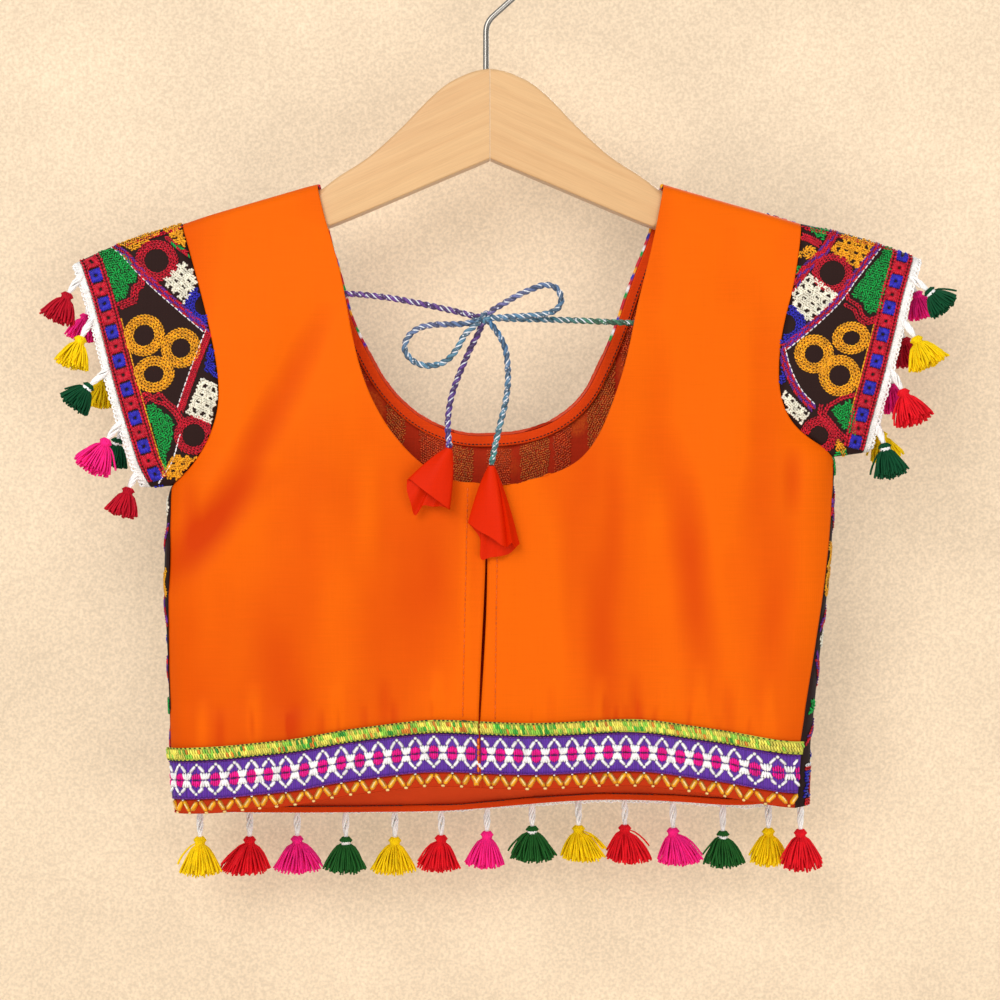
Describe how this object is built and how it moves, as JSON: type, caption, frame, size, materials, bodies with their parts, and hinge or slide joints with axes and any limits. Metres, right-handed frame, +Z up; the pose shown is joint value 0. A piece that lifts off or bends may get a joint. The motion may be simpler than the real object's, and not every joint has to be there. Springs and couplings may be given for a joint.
{
  "type": "child's choli blouse on a wooden hanger",
  "caption": "Child's short choli blouse with embroidered sleeves, plain open back, tied cord and tassel lace, hung on a wooden hanger with a wire hook.",
  "frame": {"origin": "underside of the hook's crown, where the hook hangs on a rail", "axes": "+X towards the right as seen from the open back, +Y from the back to the front of the blouse, +Z up"},
  "size_m": [0.4547, 0.0597, 0.4837],
  "materials": {
    "orange_cloth": "smooth slub cotton silk with a soft sheen",
    "rust_cloth": "plain woven cotton",
    "lining_cloth": "plain woven cotton lining",
    "embroidered_cloth": "dark cotton covered in coloured thread embroidery",
    "purple_ribbon": "ribbed woven ribbon with white and magenta satin stitches",
    "lime_braid": "narrow braid of yellow and green thread",
    "white_lace": "crocheted cotton edging",
    "yarn_yellow": "soft acrylic yarn",
    "yarn_red": "soft acrylic yarn",
    "yarn_pink": "soft acrylic yarn",
    "yarn_green": "soft acrylic yarn",
    "twisted_cord": "twisted cord with metallic yarn",
    "latkan_cloth": "folded cotton silk",
    "wood": "pale wood under satin varnish",
    "steel": "nickel plated wire"
  },
  "bodies": {
    "root": {"back_left": "orange_cloth", "back_right": "orange_cloth", "back_band_left": "rust_cloth", "back_band_right": "rust_cloth", "ribbon_left": "purple_ribbon", "ribbon_right": "purple_ribbon", "braid_left": "lime_braid", "braid_right": "lime_braid", "front": "embroidered_cloth", "front_lining": "lining_cloth", "neck_facing": "rust_cloth", "hem_facing": "rust_cloth", "sleeve_left": "embroidered_cloth", "sleeve_right": "embroidered_cloth", "hem_lace": "white_lace", "sleeve_lace_left": "white_lace", "sleeve_lace_right": "white_lace", "hem_tassel_01": "yarn_yellow", "hem_tassel_02": "yarn_red", "hem_tassel_03": "yarn_pink", "hem_tassel_04": "yarn_green", "hem_tassel_05": "yarn_yellow", "hem_tassel_06": "yarn_red", "hem_tassel_07": "yarn_pink", "hem_tassel_08": "yarn_green", "hem_tassel_09": "yarn_yellow", "hem_tassel_10": "yarn_red", "hem_tassel_11": "yarn_pink", "hem_tassel_12": "yarn_green", "hem_tassel_13": "yarn_yellow", "hem_tassel_14": "yarn_red", "sleeve_tassel_left_1": "yarn_red", "sleeve_tassel_left_2": "yarn_yellow", "sleeve_tassel_left_3": "yarn_green", "sleeve_tassel_left_4": "yarn_pink", "sleeve_tassel_left_5": "yarn_red", "sleeve_tassel_left_6": "yarn_pink", "sleeve_tassel_left_7": "yarn_yellow", "sleeve_tassel_left_8": "yarn_green", "sleeve_tassel_right_1": "yarn_green", "sleeve_tassel_right_2": "yarn_yellow", "sleeve_tassel_right_3": "yarn_red", "sleeve_tassel_right_4": "yarn_green", "sleeve_tassel_right_5": "yarn_pink", "sleeve_tassel_right_6": "yarn_red", "sleeve_tassel_right_7": "yarn_pink", "sleeve_tassel_right_8": "yarn_yellow", "dori_left": "twisted_cord", "dori_right": "twisted_cord", "bow_left": "twisted_cord", "bow_right": "twisted_cord", "tail_left": "twisted_cord", "tail_right": "twisted_cord", "bow_knot": "twisted_cord", "latkan_left": "latkan_cloth", "latkan_right": "latkan_cloth", "hanger_left": "wood", "hanger_right": "wood", "hanger_hook": "steel"}
  },
  "joints": []
}
